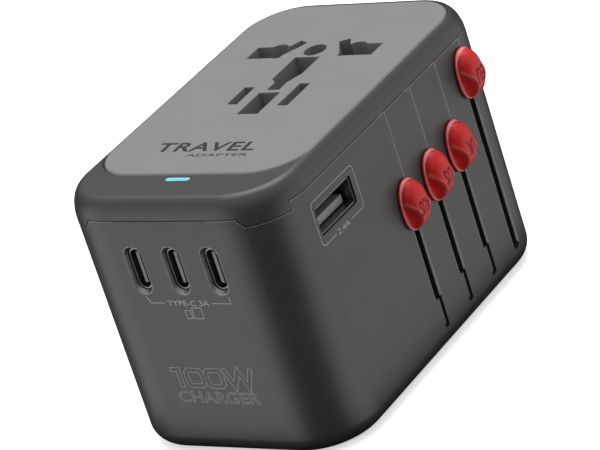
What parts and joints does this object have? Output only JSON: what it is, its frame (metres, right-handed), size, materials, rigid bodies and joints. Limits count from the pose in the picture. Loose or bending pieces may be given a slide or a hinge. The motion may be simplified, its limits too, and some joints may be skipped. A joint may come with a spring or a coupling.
{
  "type": "universal travel adapter",
  "caption": "Boxy mains travel adapter with a universal socket on top, slide-out plugs for several regions and USB charging ports.",
  "frame": {"origin": "middle of the plug face, the flat bottom that meets the wall socket", "axes": "+Z from the plug face to the socket panel, +X towards the side with the sliders, +Y along the long side away from the USB-C ports"},
  "size_m": [0.0567, 0.086, 0.0564],
  "materials": {
    "case_black": "satin",
    "cover_black": "satin",
    "panel_grey": "satin",
    "knob_red": "satin",
    "carriage_black": "matte",
    "insulator_grey": "matte",
    "shutter_black": "matte",
    "pin_nickel": "polished",
    "contact_brass": "satin",
    "spring_steel": "bright",
    "port_steel": "satin",
    "port_tongue": "matte",
    "board_green": "solder mask",
    "ferrite": "matte",
    "winding_yellow": "tape",
    "copper_wire": "enamelled copper",
    "capacitor_sleeve": "sleeve",
    "aluminium": "satin",
    "chip_black": "matte",
    "fuse_glass": "clear",
    "light_cyan": "translucent",
    "screw_steel": "zinc plated",
    "barrier_board": "pressboard"
  },
  "bodies": {
    "case": {"barrier": "barrier_board", "case_screws": "screw_steel", "choke": "copper_wire", "contact_block": "insulator_grey", "earth_contact": "contact_brass", "eu_well": "insulator_grey", "fuse": "fuse_glass", "fuse_clips": "spring_steel", "heat_spreader": "aluminium", "light_pipe": "light_cyan", "live_bus": "contact_brass", "live_contact": "contact_brass", "main_board": "board_green", "main_housing": "case_black", "mains_capacitors": "capacitor_sleeve", "neutral_bus": "contact_brass", "neutral_contact": "contact_brass", "output_capacitors": "capacitor_sleeve", "port_board": "board_green", "shutter_spring": "spring_steel", "side_board": "board_green", "socket_panel": "panel_grey", "status_led": "light_cyan", "switches": "chip_black", "top_cover": "cover_black", "transformer_core": "ferrite", "transformer_winding": "winding_yellow", "usba_shell": "port_steel", "usba_tongue": "port_tongue", "usbc_shell_left": "port_steel", "usbc_shell_middle": "port_steel", "usbc_shell_right": "port_steel", "usbc_tongue_left": "port_tongue", "usbc_tongue_middle": "port_tongue", "usbc_tongue_right": "port_tongue"},
    "slider_au": {"au_carriage": "carriage_black", "au_knob": "knob_red", "au_live_blade": "pin_nickel", "au_neutral_blade": "pin_nickel", "au_wipers": "contact_brass"},
    "slider_eu": {"eu_carriage": "carriage_black", "eu_knob": "knob_red", "eu_live_pin": "pin_nickel", "eu_neutral_pin": "pin_nickel", "eu_pin_sleeves": "carriage_black", "eu_wipers": "contact_brass"},
    "shutter": {"shutter": "shutter_black"},
    "slider_uk": {"uk_carriage": "carriage_black", "uk_earth_pin": "pin_nickel", "uk_knob": "knob_red", "uk_live_pin": "pin_nickel", "uk_neutral_pin": "pin_nickel", "uk_pin_sleeves": "carriage_black", "uk_wipers": "contact_brass"},
    "slider_us": {"us_carriage": "carriage_black", "us_knob": "knob_red", "us_live_blade": "pin_nickel", "us_neutral_blade": "pin_nickel", "us_wipers": "contact_brass"}
  },
  "joints": [
    {"name": "au_slide", "type": "slide", "parent": "case", "child": "slider_au", "axis": [0, 0, -1], "range_m": [0, 0.0182]},
    {"name": "us_slide", "type": "slide", "parent": "case", "child": "slider_us", "axis": [0, 0, -1], "range_m": [0, 0.019]},
    {"name": "uk_slide", "type": "slide", "parent": "case", "child": "slider_uk", "axis": [0, 0, -1], "range_m": [0, 0.0199]},
    {"name": "eu_slide", "type": "slide", "parent": "case", "child": "slider_eu", "axis": [0, 0, -1], "range_m": [0, 0.0365]},
    {"name": "shutter_slide", "type": "slide", "parent": "case", "child": "shutter", "axis": [0, 1, 0], "range_m": [0, 0.01], "stiffness_N_per_m": 40, "springref_m": -0.002, "deforming": ["shutter_spring"]}
  ]
}
